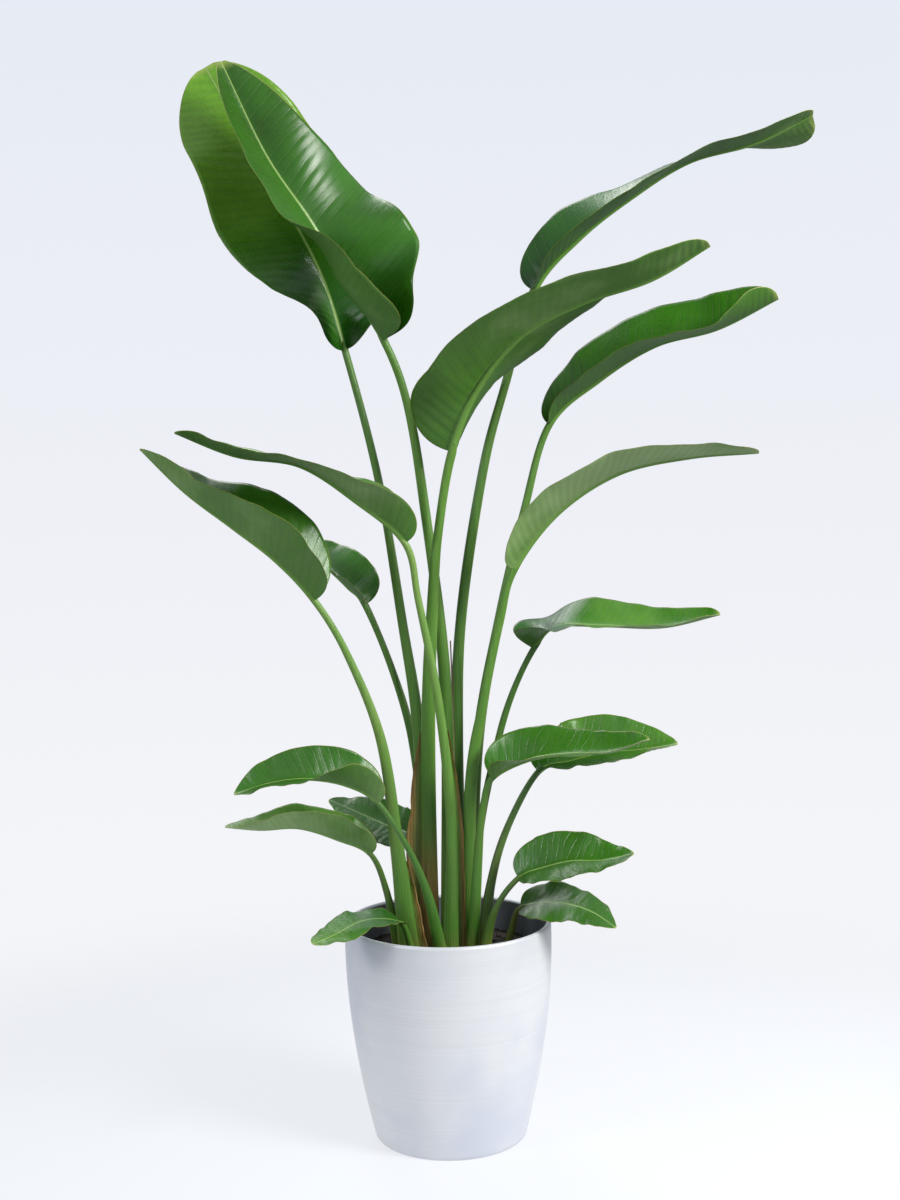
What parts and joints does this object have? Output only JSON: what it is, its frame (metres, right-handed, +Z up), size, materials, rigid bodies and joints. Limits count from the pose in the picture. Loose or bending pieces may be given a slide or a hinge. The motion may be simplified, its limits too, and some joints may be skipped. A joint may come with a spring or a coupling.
{
  "type": "potted bird of paradise plant",
  "caption": "Tall bird of paradise plant with long-stalked paddle leaves fanning out in clumps from a tapered round pot of dark soil.",
  "frame": {"origin": "centre of the pot's flat underside, on the floor", "axes": "+Z up along the pot's axis, -Y towards the front, +X to the plant's right-hand side as seen from the front"},
  "size_m": [0.9677, 0.432, 1.5719],
  "materials": {
    "pot": "satin",
    "soil": "matte",
    "new_leaf": "matte",
    "stalk": "satin",
    "blade": "satin"
  },
  "bodies": {
    "root": {"pot": "pot", "soil": "soil", "new_leaf": "new_leaf", "stalk_a": "stalk", "blade_a": "blade", "stalk_b": "stalk", "blade_b": "blade", "stalk_c": "stalk", "blade_c": "blade", "stalk_d": "stalk", "blade_d": "blade", "stalk_e": "stalk", "blade_e": "blade", "stalk_f": "stalk", "blade_f": "blade", "stalk_g": "stalk", "blade_g": "blade", "stalk_h": "stalk", "blade_h": "blade", "stalk_i": "stalk", "blade_i": "blade", "stalk_j": "stalk", "blade_j": "blade", "stalk_k": "stalk", "blade_k": "blade", "stalk_l": "stalk", "blade_l": "blade", "stalk_m": "stalk", "blade_m": "blade", "stalk_n": "stalk", "blade_n": "blade", "stalk_o": "stalk", "blade_o": "blade", "stalk_p": "stalk", "blade_p": "blade", "stalk_q": "stalk", "blade_q": "blade", "stalk_r": "stalk", "blade_r": "blade"}
  },
  "joints": []
}
